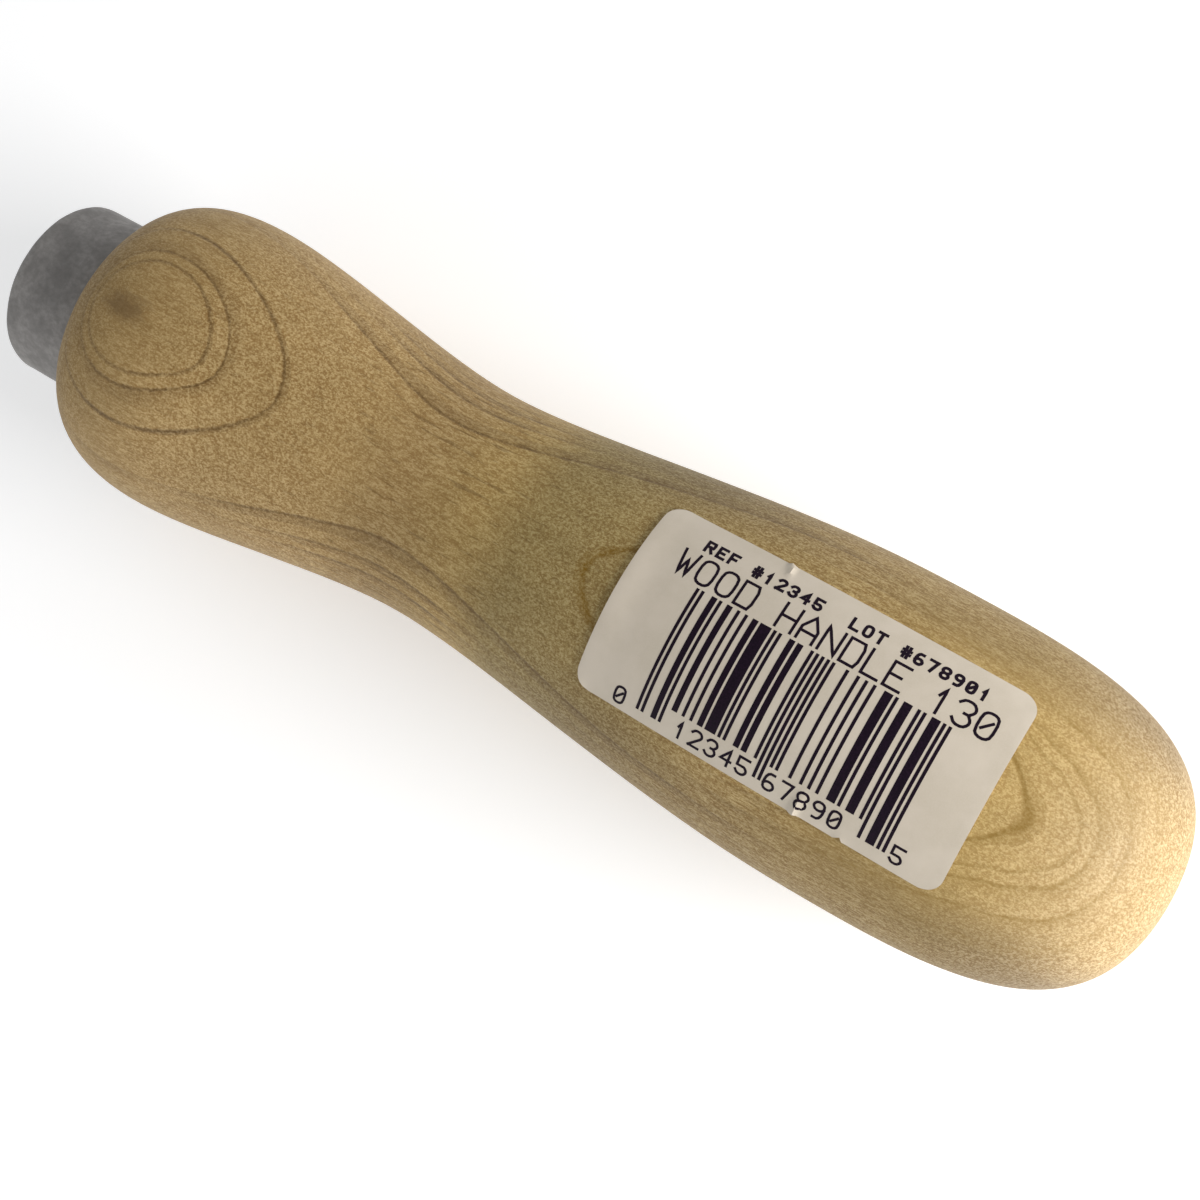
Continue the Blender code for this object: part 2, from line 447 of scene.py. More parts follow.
def strip(shape, lefts, rights):
    """A thin closed ribbon of ink between two rows of (u, v) points."""
    low, high = PAPER - INK_BELOW, PAPER + INK_ABOVE
    rows = []
    for left, right in zip(lefts, rights):
        section = ((*left, high), (*right, high), (*right, low), (*left, low))
        rows.append([shape.verts.new(on_label(*point)) for point in section])
    for near, far in zip(rows, rows[1:]):
        for side in range(4):
            after = (side + 1) % 4
            shape.faces.new([near[side], near[after], far[after], far[side]])
    shape.faces.new(rows[0])
    shape.faces.new(rows[-1])


def bar(shape, start, end, bottom, top):
    """One upright bar from start to end along the label."""
    count = max(2, math.ceil((top - bottom) / INK_STEP))
    heights = [bottom + (top - bottom) * i / count for i in range(count + 1)]
    strip(shape, [(start, v) for v in heights], [(end, v) for v in heights])


def symbol_modules():
    """The symbol's modules as a string of ones and zeros."""
    left = "".join(DIGIT_MODULES[int(digit)] for digit in PLACEHOLDER_DIGITS[:DIGIT_HALF])
    right = "".join(DIGIT_MODULES[int(digit)] for digit in PLACEHOLDER_DIGITS[DIGIT_HALF:])
    flipped = right.translate(str.maketrans("01", "10"))
    return OUTER_GUARD + left + MIDDLE_GUARD + flipped + OUTER_GUARD


def add_symbol(shape):
    """Bars wherever modules are dark. The guards and the outer digits reach lower."""
    modules = symbol_modules()
    module = SYMBOL_LENGTH / len(modules)
    middle = len(modules) / 2
    start = 0
    while start < len(modules):
        end = start
        while end < len(modules) and modules[end] == "1":
            end += 1
        if end > start:
            from_middle = abs((start + end) / 2 - middle)
            is_long = from_middle < MIDDLE_REACH or from_middle > middle - OUTER_REACH
            bottom = GUARD_BOTTOM if is_long else BARS_BOTTOM
            u0 = SYMBOL_FROM + start * module - INK_SPREAD
            u1 = SYMBOL_FROM + end * module + INK_SPREAD
            bar(shape, u0, u1, bottom, BARS_TOP)
        start = end + 1


def rounded(points):
    """One pass of corner cutting, which leaves the ends of an open stroke where they are."""
    cut = []
    for (x0, y0), (x1, y1) in zip(points, points[1:]):
        for far in (CORNER_CUT, 1 - CORNER_CUT):
            cut.append((x0 * (1 - far) + x1 * far, y0 * (1 - far) + y1 * far))
    return cut + [cut[0]] if points[0] == points[-1] else [points[0]] + cut + [points[-1]]


def pen(shape, points, weight):
    """A stroke of the pen through points, mitred where it turns."""
    path = [Vector(points[0])]
    for point in points[1:]:
        target = Vector(point)
        count = max(1, math.ceil((target - path[-1]).length / INK_STEP))
        start = path[-1]
        path += [start.lerp(target, (i + 1) / count) for i in range(count)]
    closed = (path[0] - path[-1]).length < 1e-6
    lefts, rights = [], []
    for i, point in enumerate(path):
        before = path[i - 1] if i else (path[-2] if closed else point)
        after = path[i + 1] if i + 1 < len(path) else (path[1] if closed else point)
        into = (point - before).normalized() if before != point else (after - point).normalized()
        out = (after - point).normalized() if after != point else into
        middle = (into + out).normalized()
        side = Vector((-middle.y, middle.x))
        reach = weight / 2 / max(MITRE_LIMIT, math.sqrt((1 + into.dot(out)) / 2))
        end = 0.0 if closed else weight / 2
        slide = middle * (-end if i == 0 else end if i + 1 == len(path) else 0.0)
        lefts.append(tuple(point + slide + side * reach))
        rights.append(tuple(point + slide - side * reach))
    strip(shape, lefts, rights)


def write(shape, words, start, base, height, pitch, weight, narrow):
    """Words in the stroke letters, from start along the label, standing on base."""
    wide = pitch * narrow / GLYPH_WIDE
    tall = height / GLYPH_HIGH
    for index, letter in enumerate(words):
        left = start + index * pitch
        for stroke in GLYPHS[letter].split():
            is_round = stroke.endswith("o")
            marks = stroke.rstrip("o").split("-")
            points = [(left + int(x) * wide, base + int(y) * tall) for x, y in marks]
            pen(shape, rounded(points) if is_round else points, weight)


def make_print():
    """Everything printed on the label: two lines of plain words, the symbol and its digits."""
    shape = bmesh.new()
    add_symbol(shape)
    for words, start, lettering in PRINTED:
        write(shape, words, start, **lettering)
    return finish_mesh("label_print", shape)


# ---------------------------------------------------------------- materials


def rgb(colour):
    """A colour with its alpha, or a socket as it is."""
    if isinstance(colour, bpy.types.NodeSocket):
        return colour
    return (*colour, 1.0) if len(colour) == 3 else colour


class Shader:
    """A material whose nodes are made one call at a time."""

    def __init__(self, name):
        self.material = bpy.data.materials.new(name)
        self.material.use_nodes = True
        self.tree = self.material.node_tree
        self.surface = self.tree.nodes["Principled BSDF"]

    def put(self, value, socket):
        """Links value to socket if it is a socket, and otherwise sets it."""
        if isinstance(value, bpy.types.NodeSocket):
            self.tree.links.new(value, socket)
        elif value is not None:
            socket.default_value = value

    def node(self, kind, *values, **settings):
        made = self.tree.nodes.new(kind)
        for name, value in settings.items():
            setattr(made, name, value)
        for value, socket in zip(values, made.inputs):
            self.put(value, socket)
        return made

    def math(self, operation, *values):
        return self.node("ShaderNodeMath", *values, operation=operation).outputs[0]

    def add(self, *values):
        return self.math("ADD", *values)

    def times(self, *values):
        return self.math("MULTIPLY", *values)

    def less(self, *values):
        return self.math("SUBTRACT", *values)

    def size(self, value):
        return self.math("ABSOLUTE", value)

    def join(self, x, y, z):
        return self.node("ShaderNodeCombineXYZ", x, y, z).outputs[0]

    def split(self, vector):
        return self.node("ShaderNodeSeparateXYZ", vector).outputs

    def noise(self, vector, scale=1.0, detail=2.0, roughness=0.5):
        made = self.node("ShaderNodeTexNoise")
        made.inputs["Scale"].default_value = scale
        made.inputs["Detail"].default_value = detail
        made.inputs["Roughness"].default_value = roughness
        self.put(vector, made.inputs["Vector"])
        return made.outputs[0]

    def fibres(self, place, stretch, scale, detail=2.0, roughness=0.5, shift=0.0):
        """Noise in handle space, drawn out along the fibres and moved by shift."""
        along, across, up = place
        spot = self.join(self.times(along, stretch), across, self.add(up, shift))
        return self.noise(spot, scale, detail, roughness)

    def range(self, value, low, high, to_low=0.0, to_high=1.0):
        """A smooth step from to_low, where value is low, to to_high, where it is high."""
        made = self.node("ShaderNodeMapRange", value, low, high, to_low, to_high)
        made.interpolation_type = "SMOOTHSTEP"
        return made.outputs[0]

    def between(self, value, fade_in, fade_out):
        """One between two fades, each given from nothing to full."""
        return self.times(self.range(value, *fade_in), self.range(value, *fade_out))

    def mix(self, factor, first, second, blend="MIX"):
        made = self.node("ShaderNodeMix", data_type="RGBA", blend_type=blend)
        self.put(factor, made.inputs["Factor"])
        self.put(rgb(first), made.inputs["A"])
        self.put(rgb(second), made.inputs["B"])
        return made.outputs["Result"]

    def tint(self, factor, colour, by):
        """colour, multiplied by another as far as factor says."""
        return self.mix(factor, colour, self.mix(1.0, colour, by, "MULTIPLY"))

    def ramp(self, value, stops):
        """A ramp that keeps each stop's colour up to the next stop."""
        made = self.node("ShaderNodeValToRGB", value)
        made.color_ramp.interpolation = "CONSTANT"
        elements = made.color_ramp.elements
        while len(elements) < len(stops):
            elements.new(0.5)
        for element, (position, colour) in zip(elements, stops):
            element.position = position
            element.color = rgb(colour)
        return made.outputs[0]

    def bump(self, height, distance, strength):
        made = self.node("ShaderNodeBump")
        made.inputs["Strength"].default_value = strength
        made.inputs["Distance"].default_value = distance * MM
        self.put(height, made.inputs["Height"])
        return made.outputs[0]

    def handle_space(self):
        """Along from the front, and y and z from the axis, in millimetres."""
        position = self.split(self.node("ShaderNodeTexCoord").outputs["Object"])
        along = self.times(self.less(position[0], FRONT_X), 1 / MM)
        across = self.times(position[1], 1 / MM)
        up = self.times(self.less(position[2], AXIS_Z), 1 / MM)
        return along, across, up

    def finish(self, **values):
        """Values for the surface's sockets, named in lower case with underscores."""
        for name, value in values.items():
            socket = name.replace("_", " ").title().replace("Ior", "IOR")
            self.put(value, self.surface.inputs[socket])
        return self.material


# Tones of the wood
WOOD = (0.50, 0.338, 0.115)
WOOD_DARKER = (0.44, 0.298, 0.10)
# Darker towards the front: partly the wood's own tone, partly painted shade where the light falls off
# towards the ferrule
WOOD_FRONT_TONE_AND_SHADE = (0.80, 0.78, 0.86)
# Painted highlight: the butt paler and less saturated, as the key light's glossy reflection leaves it
WOOD_BUTT_HIGHLIGHT_TINT = (0.98, 1.03, 1.4)
# Painted shade, a little greener, on the flank that faces away from the key light
WOOD_FLANK_SHADE = (0.63, 0.67, 0.70)
LAYER_TINT = (0.80, 0.77, 0.72)
# Painted shade: the sides of the back half darker and cooler than its top
SIDE_SHADE_TINT = (0.68, 0.69, 0.76)
PORE_TINT = (0.74, 0.65, 0.56)
# Pale flecks: partly the wood's pale fibres, partly painted glints
FLECK_AND_GLINT_TINT = (1.4, 1.5, 1.85)
LINE_COLOUR = (0.12, 0.063, 0.015)
PALM_LINE_COLOUR = (0.27, 0.165, 0.035)
GRAZED_LINE_COLOUR = (0.19, 0.098, 0.001)
SMUDGE_COLOUR = (0.17, 0.10, 0.035)
BLACK = (0.0, 0.0, 0.0)

# Tones of the other pieces and the floor
STEEL_DARKER, STEEL = (0.23, 0.218, 0.206), (0.32, 0.303, 0.288)
STEEL_STAIN = (0.17, 0.16, 0.152)
STEEL_DRAWN = (0.30, 0.288, 0.28)
STEEL_METALLIC = 0.15
PAPER_DARKER, PAPER_WHITE = (0.57, 0.50, 0.395), (0.62, 0.545, 0.44)
PAPER_GRAIN = (0.65, 0.575, 0.50)
INK_FULL, INK_THIN = (0.004, 0.0005, 0.005), (0.014, 0.004, 0.015)
INK_SPECULAR = 0.15
FLOOR_DARKER, FLOOR_WHITE = (0.86, 0.86, 0.86), (0.9, 0.9, 0.9)
FLOOR_GLOW = 0.38

# Stretches of the handle, along from the front: from where a look is absent to where it is full
# Where the painted shade next to the ferrule's shoulder comes in
SHOULDER_SHADE = (15.5, 10.5)
# Where the front's darkening, part tone and part painted shade, comes in
FRONT_TONE_AND_SHADE = (62.0, 50.0)
NECK_IN, NECK_OUT = (39.0, 47.0), (72.0, 60.0)
WAIST_IN, WAIST_OUT = (43.0, 49.0), (67.0, 60.0)
# Where the flank's painted shade comes in and goes
FLANK_IN, FLANK_OUT = (58.0, 66.0), (92.0, 68.0)
GRAZED_IN = (64.0, 68.0)
SIDES_IN = (62.0, 80.0)
PALM_IN = (92.0, 106.0)
# Where the butt's painted highlight comes in
BUTT_HIGHLIGHT_IN = (110.0, 126.0)

# The smudge on top of the front swell
SMUDGE_ALONG, SMUDGE_ACROSS = 18.0, 0.6
SMUDGE_SQUEEZE = 1.9  # how much narrower it is across the grip than along it
SMUDGE_RAGGED = 4.0

# Growth rings of the plank: the tree's middle runs below the handle, almost along it.
PITH_DEPTH = 26.0
PITH_SIDE = (-1.5, 0.05)  # at the front swell, and from the neck on
PITH_SIDE_ALONG = (12.0, 42.0)
# How far the rings rise (along, rise) along the handle, which closes them into ovals on the swells
RING_RISE = (
    (0, 0.75),
    (10, 0.62),
    (25, 0.3),
    (55, 0.08),
    (71, 0.28),
    (85, 0.0),
    (100, -0.62),
    (113, -1.05),
    (117, -0.76),
    (121, -0.13),
    (125, 0.6),
    (130, 1.4),
)
RISE_SPAN = 2.5
# Rings cut by the upper side: height, darkness on the front half, on the back half, inward fade
SEEN_RINGS = (
    (15.92, 0.8, 0.0, 2.4),
    (15.55, 1.0, 0.0, 2.0),
    (14.34, 1.0, 0.9, 1.6),
    (13.84, 0.0, 0.5, 1.8),
    (13.51, 0.0, 0.65, 1.6),
    (12.57, 0.05, 0.6, 1.6),
    (11.11, 0.95, 0.3, 3.6),
    (9.57, 0.95, 0.2, 2.4),
    (8.4, 0.8, 0.15, 2.4),
)
RING_TOP, RING_BOTTOM = 17.5, -17.5
RING_HALVES = (84.0, 100.0)  # between these the front half's darkness gives way to the back half's
LINE_WIDTH = 0.32
GRAZED_WIDENING = 0.2
PALM_NARROWING = 0.06
LEAST_SLOPE = 0.13
WAIST_ALONG = 51.0
# Rings lower than this are fainter, first towards the front and then away from the waist.
FAINT_IN_FRONT, FAINT_OFF_WAIST = (12.0, 11.6), (10.6, 10.2)
# Rings of the lower half, drawn between these limits
RINGS_IN_ALL = 30
DRAWN_STEP = (0.65, 1.65)
DRAWN_DARK = (0.15, 0.45)
DRAWN_DARK_BACK = 0.6  # of the darkness in front
DRAWN_FADE = (1.0, 2.4)
FADE_SCALE = 4.0  # divides the fades, which a ramp holds only up to one
BAND_SHARE = 0.55  # a ring's band ends this share of the way up from the ring below


def all_rings():
    """SEEN_RINGS, and fainter ones below them at seeded spacings down to the under side."""
    draw = random.Random(11)
    rings = list(SEEN_RINGS)
    while len(rings) < RINGS_IN_ALL:
        height = rings[-1][0] - draw.uniform(*DRAWN_STEP)
        dark = draw.uniform(*DRAWN_DARK)
        rings.append((height, dark, dark * DRAWN_DARK_BACK, draw.uniform(*DRAWN_FADE)))
    return rings


def ring_lines(s, height, slope, along, width):
    """Darkness of the growth ring lines where the surface cuts the rings at this height and slope."""
    rings = all_rings()
    span = RING_TOP - RING_BOTTOM
    stops = []
    for i in range(len(rings) - 1, -1, -1):
        ring, front, back, fade = rings[i]
        below = rings[i + 1][0] if i + 1 < len(rings) else RING_BOTTOM * 2
        edge = ring * BAND_SHARE + below * (1 - BAND_SHARE)
        value = ((ring - RING_BOTTOM) / span, front, fade / FADE_SCALE, back)
        stops.append((max((edge - RING_BOTTOM) / span, 0.0), value))
    made = s.ramp(s.math("DIVIDE", s.less(height, RING_BOTTOM), span), stops)
    nearest, front, fade = s.split(made)
    back = made.node.outputs["Alpha"]
    half = s.range(along, *RING_HALVES)
    dark = s.add(s.times(front, s.less(1.0, half)), s.times(back, half))
    # The lowest rings show at the waist, and all of them fade where the front swell turns down.
    from_waist = s.size(s.less(along, WAIST_ALONG))
    hidden = s.times(s.range(height, *FAINT_OFF_WAIST), s.range(from_waist, 6.0, 14.0, 0.0, 0.7))
    dark = s.times(dark, s.less(1.0, hidden))
    hidden = s.times(s.range(height, *FAINT_IN_FRONT), s.range(along, 42.0, 26.0, 0.0, 0.65))
    dark = s.times(dark, s.less(1.0, hidden))
    dark = s.times(dark, s.range(along, 11.0, 21.0, 0.3, 1.0))
    # Each line is sharp on its outer side and fades towards the pith.
    ring_height = s.add(s.times(nearest, span), RING_BOTTOM)
    distance = s.math("DIVIDE", s.less(height, ring_height), s.times(slope, width))
    inside = s.math("DIVIDE", distance, s.times(fade, FADE_SCALE))
    sharp = s.range(s.size(distance), 0.1, 1.1, 1.0, 0.0)
    soft = s.times(s.range(inside, -3.0, 0.0, 0.0, 0.5), s.range(distance, 0.0, 0.5, 1.0, 0.0))
    return s.times(dark, s.math("MAXIMUM", sharp, soft))


def rise_curve(s, along):
    """RING_RISE at this place along the handle, as a smooth curve."""
    made = s.node("ShaderNodeFloatCurve")
    curve = made.mapping.curves[0]
    points = [(a / LENGTH, 0.5 + rise / 2 / RISE_SPAN) for a, rise in RING_RISE]
    while len(curve.points) < len(points):
        curve.points.new(0.5, 0.5)
    for point, (x, y) in zip(curve.points, points):
        point.location = (min(x, 1.0), y)
    made.mapping.update()
    made.inputs["Factor"].default_value = 1.0
    s.put(s.math("DIVIDE", along, LENGTH), made.inputs["Value"])
    return s.times(s.less(made.outputs[0], 0.5), 2 * RISE_SPAN)


def ring_cut(s, place, palm):
    """Height of the growth ring that the surface cuts here, and how steeply it crosses the rings."""
    along, across, up = place
    pith_side = s.range(along, *PITH_SIDE_ALONG, *PITH_SIDE)
    y = s.less(across, pith_side)
    z = s.add(up, PITH_DEPTH)
    reach = s.math("SQRT", s.add(s.times(y, y), s.times(z, z)))
    waver = s.fibres(place, stretch=0.5, scale=0.16, detail=0.0)
    ripple = s.noise(s.join(*place), 1.5, 2.0)
    uneven = s.add(s.times(s.less(waver, 0.5), 0.35), s.times(s.less(ripple, 0.5), 0.09))
    height = s.add(s.less(reach, PITH_DEPTH), rise_curve(s, along))
    height = s.add(height, s.times(uneven, s.less(1.0, s.times(palm, 0.85))))
    # A line keeps its width where the surface crosses the rings at a slant.
    normal = s.node("ShaderNodeTexCoord").outputs["Normal"]
    out = s.join(0.0, s.math("DIVIDE", y, reach), s.math("DIVIDE", z, reach))
    facing = s.node("ShaderNodeVectorMath", normal, out, operation="DOT_PRODUCT").outputs["Value"]
    slope = s.math("SQRT", s.less(1.0001, s.times(facing, facing)))
    return height, s.math("MAXIMUM", slope, LEAST_SLOPE)


def bare_tone(s, place, height, waist):
    """The wood's colour without grain or rings: darker and browner in front, partly as painted shade,
    with painted shade, a little greener, on the flank, at the shoulder, on the waist and on the sides,
    and a painted highlight at the butt.
    """
    along, across, up = place
    cloud = s.fibres(place, stretch=0.6, scale=0.11, detail=3.0, roughness=0.55)
    colour = s.mix(s.range(cloud, 0.35, 0.65), WOOD_DARKER, WOOD)
    # Darker and browner towards the front: partly the wood's tone, partly painted shade where the light
    # falls off towards the ferrule.
    colour = s.tint(s.range(along, *FRONT_TONE_AND_SHADE), colour, WOOD_FRONT_TONE_AND_SHADE)
    # Painted shade: darker and a little greener on the flank that faces away from the key light, most on
    # top.
    flank = s.times(s.between(along, FLANK_IN, FLANK_OUT), s.range(up, -9.0, 3.0, 0.3, 1.0))
    colour = s.tint(flank, colour, WOOD_FLANK_SHADE)
    # Painted highlight at the butt, paler and less saturated, standing in for the key light's glossy
    # reflection.
    colour = s.tint(s.range(along, *BUTT_HIGHLIGHT_IN), colour, WOOD_BUTT_HIGHLIGHT_TINT)
    # Painted shade: darker next to the ferrule's shoulder and on top of the waist.
    shade = s.add(s.times(s.range(along, *SHOULDER_SHADE), 0.22), s.times(waist, 0.13))
    colour = s.mix(shade, colour, BLACK)
    # Painted shade: the sides of the back half darker and cooler than their top.
    sides = s.times(s.range(s.size(across), 6.5, 13.0), s.range(along, *SIDES_IN))
    colour = s.tint(sides, colour, SIDE_SHADE_TINT)
    spot = s.join(s.times(along, 0.03), s.times(across, 0.3), s.times(height, 1.6))
    layers = s.noise(spot, 2.0, 4.0, 0.65)
    return s.tint(s.range(layers, 0.45, 0.7, 0.0, 0.3), colour, LAYER_TINT)


def hardwood():
    """Pale turned hardwood under thin lacquer: solid growth rings, fibres cut by the surface, and flecks,
    partly painted glints.
    """
    s = Shader("hardwood")
    place = s.handle_space()
    along, across, up = place
    palm = s.range(along, *PALM_IN)
    at_neck = s.between(along, NECK_IN, NECK_OUT)
    waist = s.times(s.between(along, WAIST_IN, WAIST_OUT), s.range(up, -1.0, 7.0))
    height, slope = ring_cut(s, place, palm)

    # Where the surface runs level with the fibres it shows streaks, and where it slopes it shows flecks.
    normal = s.node("ShaderNodeTexCoord").outputs["Normal"]
    level = s.range(s.size(s.split(normal)[0]), 0.03, 0.16, 1.0, 0.0)
    level = s.math("MAXIMUM", level, s.times(waist, 0.9))
    flecks = s.fibres(place, stretch=0.8, scale=3.7, detail=3.0, roughness=0.72)
    streaks = s.fibres(place, stretch=0.25, scale=4.2, detail=3.0, roughness=0.72)
    streaks = s.less(s.times(streaks, 1.5), 0.25)
    fine = s.fibres(place, stretch=0.6, scale=7.5, detail=1.0, shift=70.0)
    grain = s.add(flecks, s.times(level, s.times(s.less(streaks, flecks), 0.6)))
    grain = s.add(grain, s.times(s.less(fine, 0.5), 0.45))
    pores = s.fibres(place, stretch=0.6, scale=1.2, detail=3.0, roughness=0.6, shift=50.0)
    # Painted glints: fine bright sparks put into the colour.
    painted_glints = s.fibres(place, stretch=0.7, scale=5.4, detail=1.0, shift=90.0)

    # Grain is calmer on top of the palm swell, near the ferrule and at the neck.
    calm = s.times(palm, s.range(up, 6.0, 12.0, 0.0, 0.4))
    calm = s.add(calm, s.add(s.range(along, 28.0, 18.0, 0.0, 0.4), s.times(at_neck, 0.2)))
    vivid = s.less(1.0, calm)
    quiet_palm = s.less(1.0, s.times(palm, 0.5))
    colour = bare_tone(s, place, height, waist)
    dark = s.mix(1.0, colour, PORE_TINT, "MULTIPLY")
    # The pale tone is partly pale fibre and partly painted glints.
    light = s.mix(1.0, colour, FLECK_AND_GLINT_TINT, "MULTIPLY")
    # Each noise, the values between which it comes in, how strongly, what holds it back, and its tone
    marks = (
        (grain, 0.52, 0.4, 1.0, vivid, dark),
        (grain, 0.5, 0.64, 1.0, vivid, light),
        (pores, 0.48, 0.68, 0.28, quiet_palm, dark),
        (pores, 0.52, 0.32, 0.18, quiet_palm, light),
        (painted_glints, 0.6, 0.72, 1.0, vivid, light),
    )
    for value, absent, full, strength, hold, tone in marks:
        colour = s.mix(s.times(s.range(value, absent, full, 0.0, strength), hold), colour, tone)

    # Long open pores show as dark streaks, mostly at the neck.
    vessels = s.fibres(place, stretch=0.07, scale=2.4, detail=2.0, roughness=0.6)
    open_pores = s.times(s.range(vessels, 0.58, 0.68), s.add(0.22, s.times(at_neck, 0.35)))
    colour = s.mix(s.times(open_pores, vivid), colour, LINE_COLOUR)

    # In front of the label the palm swell only grazes its topmost ring: that line is wide and yellow.
    grazed = s.times(s.range(along, *GRAZED_IN), s.range(height, 13.98, 14.1))
    grazed = s.times(grazed, s.range(along, 90.0, 80.0, 0.4, 1.0))
    wider = s.less(s.times(grazed, GRAZED_WIDENING), s.times(palm, PALM_NARROWING))
    lines = ring_lines(s, height, slope, along, s.add(LINE_WIDTH, wider))
    patchy = s.range(s.noise(s.join(*place), 0.35, 3.0, 0.6), 0.35, 0.6, 0.65, 1.0)
    broken = s.times(s.range(flecks, 0.36, 0.62, 0.0, 0.4), s.less(1.0, s.times(palm, 0.6)))
    lines = s.times(lines, s.times(patchy, s.less(1.1, broken)))
    line_colour = s.mix(palm, LINE_COLOUR, PALM_LINE_COLOUR)
    line_colour = s.mix(grazed, line_colour, GRAZED_LINE_COLOUR)
    colour = s.mix(s.times(lines, 0.9), colour, line_colour)

    # A brown smudge where the front swell just touches the next ring
    sideways = s.times(s.less(across, SMUDGE_ACROSS), SMUDGE_SQUEEZE)
    spot = s.join(s.less(along, SMUDGE_ALONG), sideways, 0.0)
    distance = s.node("ShaderNodeVectorMath", spot, operation="LENGTH").outputs["Value"]
    distance = s.add(distance, s.times(s.less(pores, 0.5), SMUDGE_RAGGED))
    smudge = s.times(s.range(distance, 0.6, 4.0, 0.8, 0.0), s.range(up, 10.0, 14.0))
    colour = s.mix(smudge, colour, SMUDGE_COLOUR)

    gloss = s.range(s.add(grain, s.times(lines, 0.3)), 0.3, 0.8, 0.72, 0.5)
    relief = s.add(s.add(s.times(grain, 0.7), s.times(pores, -0.3)), s.times(lines, -0.5))
    s.surface.inputs["Coat Weight"].default_value = 0.04
    s.surface.inputs["Coat Roughness"].default_value = 0.4
    s.surface.inputs["Specular IOR Level"].default_value = 0.28
    return s.finish(base_color=colour, roughness=gloss, normal=s.bump(relief, 0.08, 0.5))


def ferrule_steel():
    """Dull drawn steel: cloudy patches, mottled stains and faint lengthwise drawing marks."""
    s = Shader("ferrule_steel")
    along, across, up = s.handle_space()
    spot = s.join(along, across, up)
    cloud = s.noise(spot, 0.35, 3.0, 0.6)
    mottle = s.noise(spot, 1.6, 4.0, 0.65)
    turn = s.times(s.math("ARCTAN2", across, up), FERRULE_RADIUS)
    drawn = s.noise(s.join(s.times(along, 0.25), turn, 0.0), 5.0, 3.0, 0.6)
    colour = s.mix(s.range(cloud, 0.35, 0.65), STEEL_DARKER, STEEL)
    colour = s.mix(s.range(mottle, 0.3, 0.7, 0.0, 0.5), colour, STEEL_STAIN)
    colour = s.mix(s.range(drawn, 0.55, 0.75, 0.0, 0.3), colour, STEEL_DRAWN)
    rough = s.range(s.add(mottle, s.times(drawn, 0.5)), 0.4, 1.1, 0.6, 0.75)
    relief = s.bump(s.add(s.times(mottle, 0.7), s.times(drawn, 0.5)), 0.03, 0.5)
    return s.finish(base_color=colour, roughness=rough, metallic=STEEL_METALLIC, normal=relief)


def label_paper():
    """Coated paper, a little cockled and handled."""
    s = Shader("label_paper")
    spot = s.join(*s.handle_space())
    cloud = s.noise(spot, 0.22, 3.0, 0.6)
    grain = s.noise(spot, 7.0, 3.0, 0.7)
    colour = s.mix(s.range(cloud, 0.35, 0.65), PAPER_DARKER, PAPER_WHITE)
    colour = s.mix(s.range(grain, 0.35, 0.7, 0.0, 0.3), colour, PAPER_GRAIN)
    rough = s.range(grain, 0.3, 0.7, 0.5, 0.62)
    return s.finish(base_color=colour, roughness=rough, normal=s.bump(grain, 0.015, 0.35))


def printing_ink():
    """Transfer ink with a slight purple cast, laid a little unevenly."""
    s = Shader("printing_ink")
    spot = s.join(*s.handle_space())
    uneven = s.noise(spot, 6.0, 3.0, 0.7)
    colour = s.mix(s.range(uneven, 0.35, 0.7), INK_FULL, INK_THIN)
    rough = s.range(uneven, 0.3, 0.7, 0.5, 0.65)
    return s.finish(base_color=colour, roughness=rough, specular_ior_level=INK_SPECULAR)


def pale_floor():
    """A plain white floor that glows a little, so that it stays paler than the label."""
    s = Shader("pale_floor")
    s.surface.inputs["Emission Color"].default_value = (1.0, 1.0, 1.0, 1.0)
    s.surface.inputs["Emission Strength"].default_value = FLOOR_GLOW
    spot = s.node("ShaderNodeTexCoord").outputs["Object"]
    colour = s.mix(s.noise(spot, 9.0, 2.0), FLOOR_DARKER, FLOOR_WHITE)
    return s.finish(base_color=colour, roughness=0.9)


# ---------------------------------------------------------------- the object

PIECES = (
    (make_grip, hardwood, "wooden_grip", "hardwood"),
    (make_ferrule, ferrule_steel, "ferrule", "ferrule_steel"),
    (make_label, label_paper, "paper_label", "label_paper"),
    (make_print, printing_ink, None, "label_paper"),
)


def make_object():
    for make, finish, node, slot in PIECES:
        piece = make()
        piece.data.materials.append(finish())
        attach(piece, "root")
        if node:
            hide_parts(node)


# ---------------------------------------------------------------- stage

FLOOR_HALF = 1.6
CAMERA_FROM_FRONT = 121.45
CAMERA_ABOVE_AXIS = 173.91
CAMERA_FOCAL = 1847.9 / 1200  # in picture widths
CAMERA_CLIP = 0.01
CAMERA_LEAN = -0.44
CAMERA_TILT = 16.43
CAMERA_ROLL = 29.37
CAMERA_ORBIT = 1.5  # round the handle's axis, away from the label's middle
SKY_HORIZON = (0.97, 0.985, 1.0)
SKY_ZENITH = (0.38, 0.385, 0.39)
SKY_STRENGTH = 0.72
# Name, place, aim, size, power, colour
LIGHTS = (
    ("key_light", (0.38, 0.06, 0.17), (0.03, 0.0, 0.02), 0.2, 1.95, (1.0, 0.985, 0.97)),
    ("fill_light", (-0.25, -0.5, 0.25), (-0.03, 0.0, 0.02), 0.5, 0.55, (0.97, 0.985, 1.0)),
)


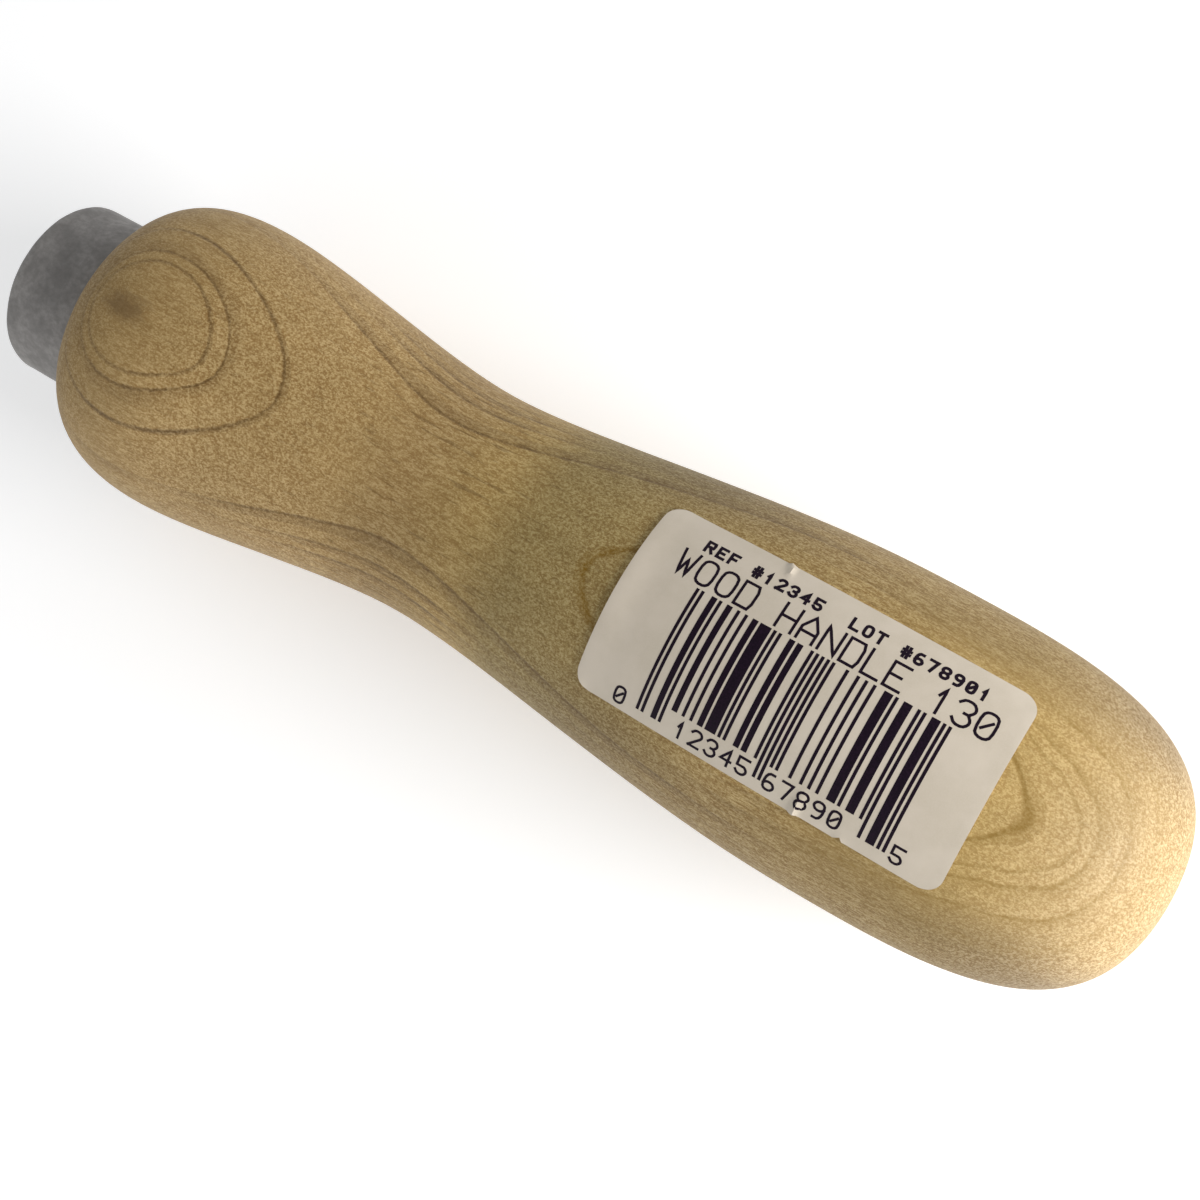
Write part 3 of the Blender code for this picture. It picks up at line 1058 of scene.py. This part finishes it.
def make_floor():
    bpy.ops.mesh.primitive_plane_add(size=2 * FLOOR_HALF, location=(0.0, 0.0, CAD_BOUNDS[0][2]))
    floor = bpy.context.active_object
    floor.name = "floor"
    floor.data.materials.append(pale_floor())
    floor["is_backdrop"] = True


def area_light(name, at, aim, size, power, colour):
    """A soft square light at one point, aimed at another, both in metres."""
    data = bpy.data.lights.new(name, "AREA")
    data.shape = "SQUARE"
    data.size = size
    data.energy = power
    data.color = colour
    light = bpy.data.objects.new(name, data)
    light.location = at
    light.rotation_euler = (Vector(aim) - Vector(at)).to_track_quat("-Z", "Y").to_euler()
    bpy.context.scene.collection.objects.link(light)


def make_lights():
    """A low soft key beyond the butt, a weak fill, and a sky that is paler at the horizon."""
    for light in LIGHTS:
        area_light(*light)
    world = bpy.data.worlds.new("studio")
    world.use_nodes = True
    nodes, links = world.node_tree.nodes, world.node_tree.links
    direction = nodes.new("ShaderNodeTexCoord")
    parts = nodes.new("ShaderNodeSeparateXYZ")
    tones = nodes.new("ShaderNodeValToRGB")
    tones.color_ramp.elements[0].color = (*SKY_HORIZON, 1.0)
    tones.color_ramp.elements[1].color = (*SKY_ZENITH, 1.0)
    links.new(direction.outputs["Generated"], parts.inputs[0])
    links.new(parts.outputs["Z"], tones.inputs[0])
    links.new(tones.outputs[0], nodes["Background"].inputs["Color"])
    nodes["Background"].inputs["Strength"].default_value = SKY_STRENGTH
    bpy.context.scene.world = world


def make_camera():
    """Above the butt's end of the handle, tilted back towards the ferrule and rolled."""
    data = bpy.data.cameras.new("camera")
    data.sensor_width = 36.0
    data.lens = CAMERA_FOCAL * data.sensor_width
    data.clip_start = CAMERA_CLIP
    camera = bpy.data.objects.new("camera", data)
    spot = Matrix.Translation((FRONT_X + CAMERA_FROM_FRONT * MM, 0.0, CAMERA_ABOVE_AXIS * MM))
    orbit = Matrix.Rotation(math.radians(CAMERA_ORBIT), 4, "X")
    turns = ((CAMERA_LEAN, "X"), (CAMERA_TILT, "Y"), (CAMERA_ROLL, "Z"))
    aim = Matrix.Identity(4)
    for degrees, axis in turns:
        aim = aim @ Matrix.Rotation(math.radians(degrees), 4, axis)
    camera.matrix_world = Matrix.Translation((0.0, 0.0, AXIS_Z)) @ orbit @ spot @ aim
    bpy.context.scene.collection.objects.link(camera)
    bpy.context.scene.camera = camera


def write_sizes():
    bounds = {"cad": CAD_BOUNDS, "visual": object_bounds()}
    lists = {name: [list(map(float, corner_)) for corner_ in box] for name, box in bounds.items()}


make_object()
make_floor()
make_lights()
make_camera()
bpy.context.scene.view_settings.view_transform = "Standard"
write_sizes()
